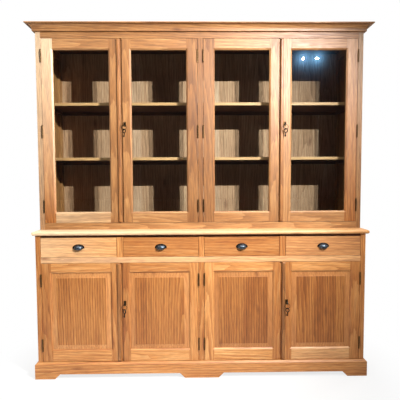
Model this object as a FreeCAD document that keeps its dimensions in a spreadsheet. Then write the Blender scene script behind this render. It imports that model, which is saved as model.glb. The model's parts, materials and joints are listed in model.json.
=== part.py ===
import FreeCAD, Part
import os
import Sketcher
from types import SimpleNamespace

# A china cabinet: a glazed hutch stands on a base with a row of drawers and panelled doors.
# Lengths are in millimetres. X runs to the right of the front, Y to the back and Z up.
# The middle of the whole outline stands over the origin, and the feet stand at Z = 0.

DIMENSIONS = {
    # carcass
    "carcass_width": 2000, "base_depth": 480, "hutch_depth": 396, "reveal": 2,
    "post_width": 30, "post_depth": 50, "mullion_width": 32, "frame_depth": 40,
    "side_rail_height": 70, "side_panel_thickness": 8, "side_panel_setback": 8,
    "board_thickness": 18, "back_thickness": 12,
    # plinth
    "plinth_height": 100, "plinth_reach": 16.5, "plinth_thickness": 44, "plinth_bevel": 11,
    "foot_length": 120, "middle_foot_length": 205, "arch_height": 30, "arch_run": 32,
    # heights of the front, from the plinth up
    "lower_door_height": 608, "middle_rail_height": 34, "drawer_height": 117,
    "shadow_rail_height": 13.5, "shadow_rail_setback": 8, "counter_thickness": 23.5,
    "foot_rail_height": 41, "upper_door_height": 1123, "frieze_height": 37.5,
    # counter and cornice
    "counter_reach": 16.5, "nose_share": 0.46,
    "cornice_height": 44, "cornice_reach": 48, "cornice_seat": 28, "cornice_fascia": 6,
    "cornice_bead": 14, "cornice_bead_height": 8, "cornice_lip": 4,
    # doors
    "door_thickness": 22, "upper_stile": 69, "upper_rail": 67, "lower_stile": 59,
    "lower_top_rail": 62, "lower_bottom_rail": 75, "moulding_width": 9, "moulding_depth": 7,
    "groove_setback": 9, "groove_depth": 8, "groove_width": 6, "panel_play": 0.5,
    "bevel_width": 28, "field_setback": 2, "field_step": 1.5,
    "glass_thickness": 4, "meeting_offset": 13, "rebate_width": 12, "rebate_depth": 10,
    "strip_width": 19, "strip_thickness": 9, "strip_base": 5, "strip_bevel": 4, "strip_end": 3,
    # shelves
    "shelf_setback": 95, "lower_shelf_rise": 392, "upper_shelf_rise": 739, "cleat": 20,
    "shelf_play": 0.5, "shelf_bearing": 15, "base_shelf_rise": 270, "base_shelf_setback": 60,
    # drawers
    "divider_width": 37, "drawer_front_thickness": 20, "drawer_side_thickness": 12,
    "drawer_bottom_thickness": 6, "drawer_side_inset": 6, "drawer_side_lift": 4,
    "drawer_side_drop": 14, "drawer_bottom_lift": 6, "drawer_length": 400,
    "runner_width": 22, "runner_height": 22, "runner_play": 0.4, "guide_height": 26,
    # cup pulls
    "pull_half_width": 35.5, "pull_flange": 2.5, "cup_half_width": 27, "cup_reach": 23,
    "cup_lip": 4, "cup_wall": 2, "pull_drop": 16,
    # hinges
    "hinge_length": 72, "barrel_radius": 4, "barrel_play": 0.3, "pin_radius": 2,
    "pin_play": 0.06, "leaf_thickness": 0.9, "leaf_width": 18, "hinge_inset": 104,
    "knuckle_gap": 0.3, "barrel_cap": 4,
    # catches
    "catch_width": 40, "catch_height": 14, "catch_depth": 12, "catch_inset": 22,
    "catch_gap": 0.3, "plate_thickness": 1.2,
    # locks and keys
    "key_offset": 27, "upper_lock_rise": 606, "lower_lock_rise": 362, "lock_height": 48,
    "lock_depth": 12, "lock_edge": 1, "lock_tail": 22, "lock_wall": 3,
    "bolt_height": 11, "bolt_thickness": 5, "bolt_play": 0.4, "bolt_rise": 7.3,
    "chamber_radius": 7, "keyhole_radius": 3.4, "keyhole_drop": 8,
    "plate_half_width": 8, "plate_half_height": 14, "escutcheon_thickness": 1.2,
    "stem_radius": 2.4, "key_stem_reach": 18, "collar_radius": 3.8, "collar_length": 3,
    "collar_gap": 1, "bit_width": 2.4, "bit_drop": 6.2, "bit_length": 6, "bow_radius": 9, "bow_rim": 3,
    "ring_radius": 14, "ring_wire": 2, "ring_thickness": 1.6, "ring_gap": 2.4,
    "spare_bow_radius": 11.5, "spare_rim": 3, "spare_stem": 24, "spare_stem_radius": 1.9,
    "spare_bit": 6, "spare_bit_length": 9, "spare_gap": 1,
}
BACK_BOARDS = 14
SPARE_TURN = 50.0
QUARTER_TURN = 90.0
MITRE = 45.0

doc = FreeCAD.newDocument("china_cabinet")
sheet = doc.addObject("Spreadsheet::Sheet", "sizes")
for row, (alias, value) in enumerate(DIMENSIONS.items(), 1):
    sheet.set("A%d" % row, alias.replace("_", " "))
    sheet.set("B%d" % row, str(value))
    sheet.setAlias("B%d" % row, alias)
doc.recompute()


class Size:
    """A length worked out from the sheet: the text of its expression and its present value."""

    def __init__(self, text, value):
        self.text = text
        self.value = value

    def joined(self, other, sign, value):
        return Size("(%s %s %s)" % (self.text, sign, other.text), value)

    def __add__(self, other):
        other = size(other)
        return self.joined(other, "+", self.value + other.value)

    def __sub__(self, other):
        other = size(other)
        return self.joined(other, "-", self.value - other.value)

    def __mul__(self, other):
        other = size(other)
        return self.joined(other, "*", self.value * other.value)

    def __truediv__(self, other):
        other = size(other)
        return self.joined(other, "/", self.value / other.value)

    def __neg__(self):
        return size(0) - self


def size(value):
    return value if isinstance(value, Size) else Size("(%r)" % value, float(value))


d = SimpleNamespace(**{name: Size("sizes." + name, float(v)) for name, v in DIMENSIONS.items()})
nodes = []


def bind(thing, prop, length):
    thing.setExpression(prop, size(length).text)


def place(thing, x, y, z):
    for axis, length in zip("xyz", (x, y, z)):
        bind(thing, "Placement.Base." + axis, length)


def turn(thing, axis, degrees):
    thing.Placement = FreeCAD.Placement(FreeCAD.Vector(), FreeCAD.Rotation(FreeCAD.Vector(*axis), degrees))


def board(name, x, y, z):
    """A plain board between low and high values on each axis."""
    box = doc.addObject("Part::Box", name)
    for prop, (low, high) in zip(("Length", "Width", "Height"), (x, y, z)):
        bind(box, prop, size(high) - low)
    place(box, x[0], y[0], z[0])
    return box


def frustum(name, x, y, z, x_far, z_far):
    """A block whose rectangle at the near Y changes to another at the far Y."""
    block = doc.addObject("Part::Wedge", name)
    for prop, length in zip(("Xmin", "Xmax", "Ymin", "Ymax", "Zmin", "Zmax", "X2min", "X2max", "Z2min", "Z2max"),
                            (*x, *y, *z, *x_far, *z_far)):
        bind(block, prop, length)
    return block


def rod(name, radius, start, length, axis="z"):
    """A round bar from a start point along one axis."""
    bar = doc.addObject("Part::Cylinder", name)
    if axis == "y":
        turn(bar, (1, 0, 0), -QUARTER_TURN)
    if axis == "x":
        turn(bar, (0, 1, 0), QUARTER_TURN)
    bind(bar, "Radius", radius)
    bind(bar, "Height", length)
    place(bar, *start)
    return bar


def group(name, pieces):
    bundle = doc.addObject("Part::Compound", name)
    bundle.Links = pieces
    return bundle


def joined(name, pieces):
    whole = doc.addObject("Part::MultiFuse", name)
    whole.Shapes = pieces
    whole.Refine = True
    return whole


def cut(name, blank, tools):
    rest = doc.addObject("Part::Cut", name)
    rest.Base = blank
    rest.Tool = tools[0] if len(tools) == 1 else group(name + "_tools", tools)
    return rest


def node(name, pieces):
    whole = pieces[0] if len(pieces) == 1 else group(name, pieces)
    whole.Label = name
    nodes.append(whole)
    return whole


def sketch_on(body, plane, name, points, arcs):
    """A closed outline on one of the body's own planes; arcs give the centres of the sides that curve."""
    outline = body.newObject("Sketcher::SketchObject", name)
    origin_plane = [f for f in body.Origin.OriginFeatures if f.Role == plane][0]
    outline.AttachmentSupport = [(origin_plane, "")]
    outline.MapMode = "FlatFace"
    count = len(points)
    corner = {}
    for index in range(count):
        start, end = (FreeCAD.Vector(h.value, v.value) for h, v in (points[index], points[(index + 1) % count]))
        corner[index] = 1
        side = Part.LineSegment(start, end)
        if index in arcs:
            middle = FreeCAD.Vector(*(length.value for length in arcs[index]))
            whole = Part.Circle(middle, FreeCAD.Vector(0, 0, 1), (start - middle).Length)
            if (start - middle).cross(end - middle).z < 0:
                corner[index] = 2
                start, end = end, start
            side = Part.ArcOfCircle(whole, whole.parameter(start), whole.parameter(end))
        outline.addGeometry(side)
    for index in range(count):
        follower = (index + 1) % count
        outline.addConstraint(Sketcher.Constraint("Coincident", index, 3 - corner[index], follower, corner[follower]))
    for index, (h, v) in enumerate(points):
        for kind, length in (("DistanceX", h), ("DistanceY", v)):
            rule = outline.addConstraint(Sketcher.Constraint(kind, -1, 1, index, corner[index], length.value))
            bind(outline, "Constraints[%d]" % rule, length)
    for index, (centre_h, centre_v) in arcs.items():
        rule = outline.addConstraint(Sketcher.Constraint("DistanceX", -1, 1, index, 3, centre_h.value))
        bind(outline, "Constraints[%d]" % rule, centre_h)
    return outline


def lath(name, plane, points, low, high, arcs={}):
    """A moulded length: an outline padded along X from the YZ plane or along Y from the XZ plane."""
    body = doc.addObject("PartDesign::Body", name)
    outline = sketch_on(body, plane, name + "_outline", points, arcs)
    along_x = plane == "YZ_Plane"
    bind(outline, "AttachmentOffset.Base.z", low if along_x else -high)
    pad = body.newObject("PartDesign::Pad", name + "_pad")
    pad.Profile = outline
    bind(pad, "Length", high - low)
    return body


# levels and planes
half = d.carcass_width / 2
key_reach = d.key_stem_reach + d.bow_radius * 2 + d.bow_rim / 2
front = (key_reach - d.base_depth) / 2
back = front + d.base_depth
hutch_front = back - d.hutch_depth
back_face = back - d.back_thickness
inner = half - d.post_width
panel_face = half - d.side_panel_setback - d.side_panel_thickness
opening = inner - d.mullion_width / 2
pair_middle = d.mullion_width / 2 + opening / 2

base_low = d.plinth_height
lower_low = base_low + d.reveal
lower_high = lower_low + d.lower_door_height
rail_low = lower_high + d.reveal
rail_high = rail_low + d.middle_rail_height
drawer_low = rail_high + d.reveal
drawer_high = drawer_low + d.drawer_height
shadow_low = drawer_high + d.reveal
base_high = shadow_low + d.shadow_rail_height
counter_high = base_high + d.counter_thickness
foot_rail_high = counter_high + d.foot_rail_height
upper_low = foot_rail_high + d.reveal
upper_high = upper_low + d.upper_door_height
frieze_low = upper_high + d.reveal
hutch_high = frieze_low + d.frieze_height
cornice_high = hutch_high + d.cornice_height


def mitre_cutters(name, reach, face, low, high, depth):
    """Boxes set at half a right angle that trim a front length and its two returns to meet in mitres."""
    corner_x, corner_y = half + reach, face - reach
    span = depth * 3
    skew = depth * 2
    side = span * (0.5 ** 0.5)
    starts = {
        "front_left": (-corner_x - skew, corner_y - skew),
        "front_right": (corner_x + skew, corner_y - skew),
        "left": (-corner_x - skew + side, corner_y - skew - side),
        "right": (corner_x + skew - side, corner_y - skew - side),
    }
    cutters = {}
    for key, (x, y) in starts.items():
        block = board("%s_mitre_%s" % (name, key), (size(0), span * 2), (size(0), span), (low, high))
        if key.endswith("right"):
            bind(block, "Length", span)
            bind(block, "Width", span * 2)
        turn(block, (0, 0, 1), MITRE)
        place(block, x, y, low)
        cutters[key] = block
    return cutters


# plinth: bevelled boards, cut away between bracket feet
plinth_out = front - d.plinth_reach
plinth_side = half + d.plinth_reach
skirt_low, skirt_high = size(0), d.plinth_height
shoulder = skirt_high - d.plinth_bevel
plinth_mitres = mitre_cutters("plinth", d.plinth_reach, front, -d.plinth_height, d.plinth_height * 2,
                              d.plinth_thickness)
plinth_front_blank = lath("plinth_front_blank", "YZ_Plane", [
    (plinth_out, skirt_low), (plinth_out + d.plinth_thickness, skirt_low),
    (plinth_out + d.plinth_thickness, skirt_high), (plinth_out + d.plinth_bevel, skirt_high),
    (plinth_out, shoulder)], -plinth_side, plinth_side)


def arch(name, low, high, along, depth):
    """The trapezoid cut away between two feet, along X or along Y."""
    block = doc.addObject("Part::Wedge", name)
    run = d.arch_run
    for prop, length in (("Xmin", low), ("Xmax", high), ("X2min", low + run), ("X2max", high - run),
                         ("Ymin", size(0)), ("Ymax", d.arch_height),
                         ("Zmin", depth[0]), ("Zmax", depth[1]), ("Z2min", depth[0]), ("Z2max", depth[1])):
        bind(block, prop, length)
    tilt = FreeCAD.Rotation(FreeCAD.Vector(1, 0, 0), QUARTER_TURN)
    swing = FreeCAD.Rotation(FreeCAD.Vector(0, 0, 1), QUARTER_TURN if along == "y" else 0)
    block.Placement = FreeCAD.Placement(FreeCAD.Vector(), swing.multiply(tilt))
    return block


foot_end = plinth_side - d.foot_length
foot_middle = d.middle_foot_length / 2
plinth_depth = (-plinth_out - d.plinth_thickness * 2, -plinth_out + d.plinth_thickness)
plinth_front = cut("plinth_front", plinth_front_blank, [
    arch("plinth_arch_left", -foot_end, -foot_middle, "x", plinth_depth),
    arch("plinth_arch_right", foot_middle, foot_end, "x", plinth_depth),
    plinth_mitres["front_left"], plinth_mitres["front_right"]])
plinth_pieces = [plinth_front]
for label, hand in (("left", -1), ("right", 1)):
    outer, inside = plinth_side * hand, (plinth_side - d.plinth_thickness) * hand
    return_blank = lath("plinth_%s_blank" % label, "XZ_Plane", [
        (outer, skirt_low), (inside, skirt_low), (inside, skirt_high),
        (outer - d.plinth_bevel * hand, skirt_high), (outer, shoulder)], plinth_out, back)
    across = (min(outer.value, inside.value), max(outer.value, inside.value))
    low, high = (outer, inside) if across[0] == outer.value else (inside, outer)
    side_arch = arch("plinth_arch_%s" % label + "_side", plinth_out + d.foot_length, back - d.foot_length, "y",
                     (low - d.plinth_thickness, high + d.plinth_thickness))
    plinth_pieces.append(cut("plinth_%s" % label, return_blank, [side_arch, plinth_mitres[label]]))
plinth_inside = plinth_side - d.plinth_thickness
plinth_pieces.append(board("plinth_back", (-plinth_inside, plinth_inside), (back - d.plinth_thickness, back),
                           (d.arch_height, skirt_high)))
node("plinth", plinth_pieces)


def side_frames(name, face, low, high):
    """Left and right sides: two posts, two rails and a thin panel between them."""
    pieces = []
    for label, hand in (("left", -1), ("right", 1)):
        def across(near, far):
            return (near, far) if hand > 0 else (-far, -near)
        key = "%s_%s" % (name, label)
        post_x = across(inner, half)
        rail_y = (face + d.post_depth, back - d.post_depth)
        pieces += [
            board(key + "_front_post", post_x, (face, face + d.post_depth), (low, high)),
            board(key + "_back_post", post_x, (back - d.post_depth, back), (low, high)),
            board(key + "_low_rail", post_x, rail_y, (low, low + d.side_rail_height)),
            board(key + "_high_rail", post_x, rail_y, (high - d.side_rail_height, high)),
            board(key + "_panel", across(panel_face, half - d.side_panel_setback), rail_y,
                  (low + d.side_rail_height, high - d.side_rail_height)),
        ]
    return node(name, pieces)


def back_boards(name, low, high):
    """Upright boards side by side between the back posts."""
    width = inner * 2 / BACK_BOARDS
    pieces = [board("%s_%d" % (name, i + 1), (-inner + width * i, -inner + width * (i + 1)), (back_face, back),
                    (low, high)) for i in range(BACK_BOARDS)]
    return node(name, pieces)


# base carcass
side_frames("base_sides", front, base_low, base_high)
floor_front = front + d.door_thickness + d.reveal
node("base_floor", [board("base_floor_board", (-inner, inner), (floor_front + d.frame_depth - d.door_thickness - d.reveal,
                                                                back_face), (base_low, base_low + d.board_thickness))])
back_boards("base_back", base_low, base_high)
frame_back = front + d.frame_depth
mullion = (-d.mullion_width / 2, d.mullion_width / 2)
base_frame = [
    board("base_foot_rail", (-inner, inner), (floor_front, frame_back), (base_low, base_low + d.board_thickness)),
    board("base_middle_rail", (-inner, inner), (front, frame_back), (rail_low, rail_high)),
    board("base_shadow_rail", (-inner, inner), (front + d.shadow_rail_setback, frame_back), (shadow_low, base_high)),
    board("base_mullion", mullion, (front, floor_front), (base_low, rail_low)),
    board("base_mullion_back", mullion, (floor_front, frame_back), (base_low + d.board_thickness, rail_low)),
    board("base_divider_middle", mullion, (front, frame_back), (rail_high, shadow_low)),
]
for label, hand in (("left", -1), ("right", 1)):
    middle = pair_middle * hand
    base_frame.append(board("base_divider_" + label, (middle - d.divider_width / 2, middle + d.divider_width / 2),
                            (front, frame_back), (rail_high, shadow_low)))
node("base_face_frame", base_frame)
node("base_partition", [board("base_partition_board", (-d.board_thickness / 2, d.board_thickness / 2),
                              (frame_back, back_face), (base_low + d.board_thickness, base_high))])

# counter board with a round nose on its front and ends
counter = doc.addObject("PartDesign::Body", "counter_body")
slab = counter.newObject("PartDesign::AdditiveBox", "counter_slab")
counter_side = half + d.counter_reach
for prop, length in (("Length", counter_side * 2), ("Width", d.base_depth + d.counter_reach),
                     ("Height", d.counter_thickness)):
    bind(slab, prop, length)
place(slab, -counter_side, front - d.counter_reach, base_high)
doc.recompute()
nose = counter.newObject("PartDesign::Fillet", "counter_nose")
nose_edges = []
for index, edge in enumerate(slab.Shape.Edges, 1):
    middle = edge.CenterOfMass
    upright = abs(edge.Vertexes[0].Z - edge.Vertexes[1].Z) > 1
    if not upright and middle.y < back.value - 1:
        nose_edges.append("Edge%d" % index)
nose.Base = (slab, nose_edges)
bind(nose, "Radius", d.counter_thickness * d.nose_share)
node("counter_top", [counter])

# hutch carcass
side_frames("hutch_sides", hutch_front, counter_high, hutch_high)
hutch_frame_back = hutch_front + d.frame_depth
node("hutch_floor", [board("hutch_floor_board", (-inner, inner), (hutch_frame_back, back_face),
                           (foot_rail_high - d.board_thickness, foot_rail_high))])
node("hutch_roof", [board("hutch_roof_board", (-inner, inner), (hutch_frame_back, back_face),
                          (hutch_high - d.board_thickness, hutch_high))])
back_boards("hutch_back", counter_high, hutch_high)
node("hutch_face_frame", [
    board("hutch_foot_rail", (-inner, inner), (hutch_front, hutch_frame_back), (counter_high, foot_rail_high)),
    board("hutch_frieze", (-inner, inner), (hutch_front, hutch_frame_back), (frieze_low, hutch_high)),
    board("hutch_mullion", mullion, (hutch_front, hutch_frame_back), (foot_rail_high, frieze_low)),
])

# cornice: a cove between a fascia and a bead, mitred at the front corners
cornice_mitres = mitre_cutters("cornice", d.cornice_reach, hutch_front, hutch_high - d.cornice_height,
                               hutch_high + d.cornice_height * 2, d.cornice_reach + d.cornice_seat)
cove_high = cornice_high - d.cornice_fascia
cove_low = hutch_high + d.cornice_bead_height
cove_centre = d.cornice_bead + (cove_high - cove_low)


def cornice_points(out):
    """The cornice outline as distances out from the hutch face, at their heights."""
    return [(out(-d.cornice_seat), hutch_high), (out(d.cornice_bead), hutch_high), (out(d.cornice_bead), cove_low),
            (out(cove_centre), cove_high), (out(d.cornice_reach), cove_high), (out(d.cornice_reach), cornice_high),
            (out(-d.cornice_seat), cornice_high)]


def cornice_cove(out):
    return {2: (out(cove_centre), cove_low)}


front_out = lambda distance: hutch_front - distance
cornice_side = half + d.cornice_reach
cornice_front = lath("cornice_front_blank", "YZ_Plane", cornice_points(front_out), -cornice_side, cornice_side,
                     cornice_cove(front_out))
cornice_pieces = [cut("cornice_front", cornice_front,
                      [cornice_mitres["front_left"], cornice_mitres["front_right"]])]
for label, hand in (("left", -1), ("right", 1)):
    side_out = lambda distance: (half + distance) * hand
    blank = lath("cornice_%s_blank" % label, "XZ_Plane", cornice_points(side_out),
                 hutch_front - d.cornice_reach, back, cornice_cove(side_out))
    cornice_pieces.append(cut("cornice_" + label, blank, [cornice_mitres[label]]))
node("cornice", cornice_pieces)

# shelves on cleats, and bearers that carry the drawers
shelf_front = hutch_front + d.shelf_setback
shelf_x = (-inner + d.shelf_play, inner - d.shelf_play)
cleat_in = inner - d.shelf_bearing
half_shelf_in = d.board_thickness / 2
shelves = []
bearers = []
for label, rise in (("lower", d.lower_shelf_rise), ("upper", d.upper_shelf_rise)):
    low = foot_rail_high + rise
    cleat_z = (low - d.cleat, low)
    shelves.append(board("hutch_shelf_" + label, shelf_x, (shelf_front, back_face), (low, low + d.board_thickness)))
    side_y = (hutch_front + d.post_depth, back - d.post_depth)
    bearers += [
        board("hutch_cleat_%s_left" % label, (-panel_face, -cleat_in), side_y, cleat_z),
        board("hutch_cleat_%s_right" % label, (cleat_in, panel_face), side_y, cleat_z),
        board("hutch_cleat_%s_back" % label, (-inner, inner), (back_face - d.cleat, back_face), cleat_z),
        board("hutch_arm_" + label, (-d.cleat / 2, d.cleat / 2), (hutch_frame_back, shelf_front + d.shelf_setback),
              cleat_z),
    ]
base_shelf_low = base_low + d.board_thickness + d.base_shelf_rise
base_cleat_z = (base_shelf_low - d.cleat, base_shelf_low)
for label, hand in (("left", -1), ("right", 1)):
    def across(near, far):
        return (near, far) if hand > 0 else (-far, -near)
    shelf_y = (front + d.base_shelf_setback, back_face)
    shelves.append(board("base_shelf_" + label, across(half_shelf_in + d.shelf_play, inner - d.shelf_play), shelf_y,
                         (base_shelf_low, base_shelf_low + d.board_thickness)))
    bearers += [
        board("base_cleat_%s_side" % label, across(cleat_in, panel_face),
              (front + d.post_depth, back - d.post_depth), base_cleat_z),
        board("base_cleat_%s_middle" % label, across(half_shelf_in, half_shelf_in + d.cleat), shelf_y, base_cleat_z),
    ]
    runner_high = drawer_low + d.drawer_side_lift - d.runner_play
    runner_z = (runner_high - d.runner_height, runner_high)
    runner_y = (frame_back, back_face)
    middle = pair_middle
    bearers += [
        board("runner_%s_side" % label, across(inner - d.runner_width, inner), runner_y, runner_z),
        board("runner_%s_middle" % label, across(half_shelf_in, half_shelf_in + d.runner_width), runner_y, runner_z),
        board("runner_%s_pair" % label, across(middle - d.divider_width / 2 - d.runner_width,
                                               middle + d.divider_width / 2 + d.runner_width), runner_y, runner_z),
        board("guide_" + label, across(middle - d.divider_width / 2, middle + d.divider_width / 2), runner_y,
              (runner_high, runner_high + d.guide_height)),
    ]
node("shelves", shelves)
node("runners_and_cleats", bearers)


def hinge(name, axis_x, face, middle_z, hand):
    """One lift-off butt hinge: the frame half with its pin and the door half that turns on it."""
    axis_y = face - d.barrel_radius - d.barrel_play
    low, high = middle_z - d.hinge_length / 2, middle_z + d.hinge_length / 2
    edge = d.reveal / 2

    def strip(near, far):
        return (axis_x + near, axis_x + far) if hand > 0 else (axis_x - far, axis_x - near)
    frame_x = strip(-edge, d.leaf_thickness - edge)
    door_x = strip(edge - d.leaf_thickness, edge)
    leaf_y = (face, face + d.leaf_width)
    web_y = (axis_y, face)
    barrel_length = d.hinge_length / 2 - d.knuckle_gap / 2
    frame_half = joined(name + "_frame_half", [
        rod(name + "_low_barrel", d.barrel_radius, (axis_x, axis_y, low), barrel_length),
        rod(name + "_pin", d.pin_radius, (axis_x, axis_y, low), d.hinge_length - d.barrel_cap),
        board(name + "_frame_leaf", frame_x, leaf_y, (low, high)),
        board(name + "_frame_web", frame_x, web_y, (low, low + barrel_length)),
    ])
    blank = joined(name + "_door_blank", [
        rod(name + "_high_barrel", d.barrel_radius, (axis_x, axis_y, high - barrel_length), barrel_length),
        board(name + "_door_leaf", door_x, leaf_y, (low, high)),
        board(name + "_door_web", door_x, web_y, (high - barrel_length, high)),
    ])
    bore = rod(name + "_bore", d.pin_radius + d.pin_play, (axis_x, axis_y, middle_z),
               d.hinge_length / 2 - d.barrel_cap / 2)
    return frame_half, cut(name + "_door_half", blank, [bore])


frame_fittings = []


def door(row, number, face, low, high, stile, top_rail, bottom_rail):
    """One leaf with its frame, pane or panel, hinge halves, catch plate and, on a locked leaf, the lock."""
    name = "%s_door_%d" % (row, number)
    hand = -1 if number < 3 else 1
    middle = pair_middle * hand
    right_leaf = number % 2 == 0
    locked = right_leaf
    outer = number in (1, 4)
    left_edge, right_edge = middle - opening / 2, middle + opening / 2
    meeting = middle - d.meeting_offset * hand
    if right_leaf:
        x0, x1 = (meeting if outer else meeting + d.reveal), right_edge - d.reveal
        in_x0, in_x1 = middle + stile, x1 - stile
        hinge_x, hinge_hand = right_edge - d.reveal / 2, -1
        free_x = (x0 + d.catch_inset, x0 + d.catch_inset + d.catch_width)
    else:
        x0, x1 = left_edge + d.reveal, (meeting if outer else meeting - d.reveal)
        in_x0, in_x1 = x0 + stile, middle - stile
        hinge_x, hinge_hand = left_edge + d.reveal / 2, 1
        free_x = (x1 - d.catch_inset - d.catch_width, x1 - d.catch_inset)
    in_z0, in_z1 = low + bottom_rail, high - top_rail
    rear = face + d.door_thickness
    slot_y = face + d.groove_setback
    glazed = row == "upper"
    mould = d.moulding_width
    tools = [
        frustum(name + "_moulding", (in_x0 - mould, in_x1 + mould), (face, face + d.moulding_depth),
                (in_z0 - mould, in_z1 + mould), (in_x0, in_x1), (in_z0, in_z1)),
        board(name + "_slot", (in_x0 - d.groove_depth, in_x1 + d.groove_depth),
              (slot_y, rear if glazed else slot_y + d.groove_width),
              (in_z0 - d.groove_depth, in_z1 + d.groove_depth)),
    ]
    key_x = middle + d.key_offset
    key_z = low + (d.upper_lock_rise if glazed else d.lower_lock_rise)
    keyhole = []
    if locked:
        keyhole = [
            rod(name + "_keyhole", d.keyhole_radius, (key_x, face, key_z), d.door_thickness, "y"),
            board(name + "_keyslot", (key_x - d.bit_width, key_x + d.bit_width), (face, rear),
                  (key_z - d.keyhole_drop, key_z)),
        ]
    if outer:
        edge_x = (x0, x0 + d.rebate_width) if right_leaf else (x1 - d.rebate_width, x1)
        tools.append(board(name + "_rebate", edge_x, (face, face + d.rebate_depth), (low, high)))
    members = [
        cut(name + "_left_stile", board(name + "_left_blank", (x0, in_x0), (face, rear), (low, high)), tools + keyhole),
        cut(name + "_right_stile", board(name + "_right_blank", (in_x1, x1), (face, rear), (low, high)), tools),
        cut(name + "_top_rail", board(name + "_top_blank", (in_x0, in_x1), (face, rear), (in_z1, high)), tools),
        cut(name + "_low_rail", board(name + "_low_blank", (in_x0, in_x1), (face, rear), (low, in_z0)), tools),
    ]
    fill_x = (in_x0 - d.groove_depth + d.panel_play, in_x1 + d.groove_depth - d.panel_play)
    fill_z = (in_z0 - d.groove_depth + d.panel_play, in_z1 + d.groove_depth - d.panel_play)
    if glazed:
        pane_rear = slot_y + d.glass_thickness
        bead_y = (pane_rear, rear)
        wide = d.groove_depth
        members += [
            board(name + "_left_bead", (in_x0 - wide, in_x0), bead_y, (in_z0 - wide, in_z1 + wide)),
            board(name + "_right_bead", (in_x1, in_x1 + wide), bead_y, (in_z0 - wide, in_z1 + wide)),
            board(name + "_top_bead", (in_x0, in_x1), bead_y, (in_z1, in_z1 + wide)),
            board(name + "_low_bead", (in_x0, in_x1), bead_y, (in_z0 - wide, in_z0)),
        ]
        filling = board(name + "_pane", fill_x, (slot_y, pane_rear), fill_z)
    else:
        field_x = (in_x0 + d.bevel_width, in_x1 - d.bevel_width)
        field_z = (in_z0 + d.bevel_width, in_z1 - d.bevel_width)
        field_y = face + d.field_setback
        step_y = field_y + d.field_step
        foot_x = (in_x0 + d.panel_play, in_x1 - d.panel_play)
        foot_z = (in_z0 + d.panel_play, in_z1 - d.panel_play)
        filling = joined(name + "_raised", [
            board(name + "_tongue", fill_x, (slot_y, slot_y + d.groove_width), fill_z),
            frustum(name + "_bevel", field_x, (step_y, slot_y), field_z, foot_x, foot_z),
            board(name + "_field", field_x, (field_y, step_y), field_z),
        ])
    if outer:
        strip_x = (edge_x[1], edge_x[1] + d.strip_width) if right_leaf else (edge_x[0] - d.strip_width, edge_x[0])
        strip_z = (low + d.strip_end, high - d.strip_end)
        ridge = d.strip_bevel
        members.append(joined(name + "_strip", [
            board(name + "_strip_base", strip_x, (face - d.strip_base, face), strip_z),
            frustum(name + "_strip_crown", (strip_x[0] + ridge, strip_x[1] - ridge),
                    (face - d.strip_thickness, face - d.strip_base), (strip_z[0] + ridge, strip_z[1] - ridge),
                    strip_x, strip_z),
        ]))
    node(name + "_frame", members)
    node(name + ("_glass" if glazed else "_panel"), [filling])

    fittings = []
    heights = [low + d.hinge_inset, high - d.hinge_inset]
    if glazed:
        heights.append((low + high) / 2)
    for index, middle_z in enumerate(heights, 1):
        frame_half, door_half = hinge("%s_hinge_%d" % (name, index), hinge_x, face, middle_z, hinge_hand)
        frame_fittings.append(frame_half)
        fittings.append(door_half)
    rail_under = high + d.reveal
    plate_high = high - d.reveal
    plate_y = rear + d.plate_thickness
    catch_y = plate_y + d.catch_gap
    fittings.append(board(name + "_catch_plate", free_x, (rear, plate_y), (plate_high - d.catch_height, plate_high)))
    frame_fittings.append(board(name + "_catch", free_x, (catch_y, catch_y + d.catch_depth),
                                (rail_under - d.catch_height, rail_under)))
    if locked:
        fittings += lock(name, x0, key_x, key_z, face, rear)
        key_and_bolt(row, number, x0, key_x, key_z, face, rear)
    node(name + "_fittings", fittings)


def lock(name, edge_x, key_x, key_z, face, rear):
    """The lock case behind the stile and the escutcheon in front of it."""
    case = board(name + "_lock_blank", (edge_x + d.lock_edge, key_x + d.lock_tail), (rear, rear + d.lock_depth),
                 (key_z - d.lock_height / 2, key_z + d.lock_height / 2))
    bolt_low = key_z + d.bolt_rise - d.bolt_play
    bolt_y = rear + d.lock_wall
    channel = board(name + "_bolt_channel", (edge_x, key_x + d.lock_tail - d.lock_wall),
                    (bolt_y, bolt_y + d.bolt_thickness + d.bolt_play * 2),
                    (bolt_low, bolt_low + d.bolt_height + d.bolt_play * 2))
    chamber = rod(name + "_key_chamber", d.chamber_radius, (key_x, rear, key_z), d.lock_depth - d.bolt_play * 2, "y")
    plate = board(name + "_plate_blank", (key_x - d.plate_half_width, key_x + d.plate_half_width),
                  (face - d.escutcheon_thickness, face), (key_z - d.plate_half_height, key_z + d.plate_half_height))
    hole = rod(name + "_plate_hole", d.keyhole_radius, (key_x, face - d.escutcheon_thickness, key_z),
               d.escutcheon_thickness, "y")
    slot = board(name + "_plate_slot", (key_x - d.bit_width, key_x + d.bit_width),
                 (face - d.escutcheon_thickness, face), (key_z - d.keyhole_drop, key_z))
    return [cut(name + "_lock_case", case, [channel, chamber]), cut(name + "_escutcheon", plate, [hole, slot])]


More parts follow.
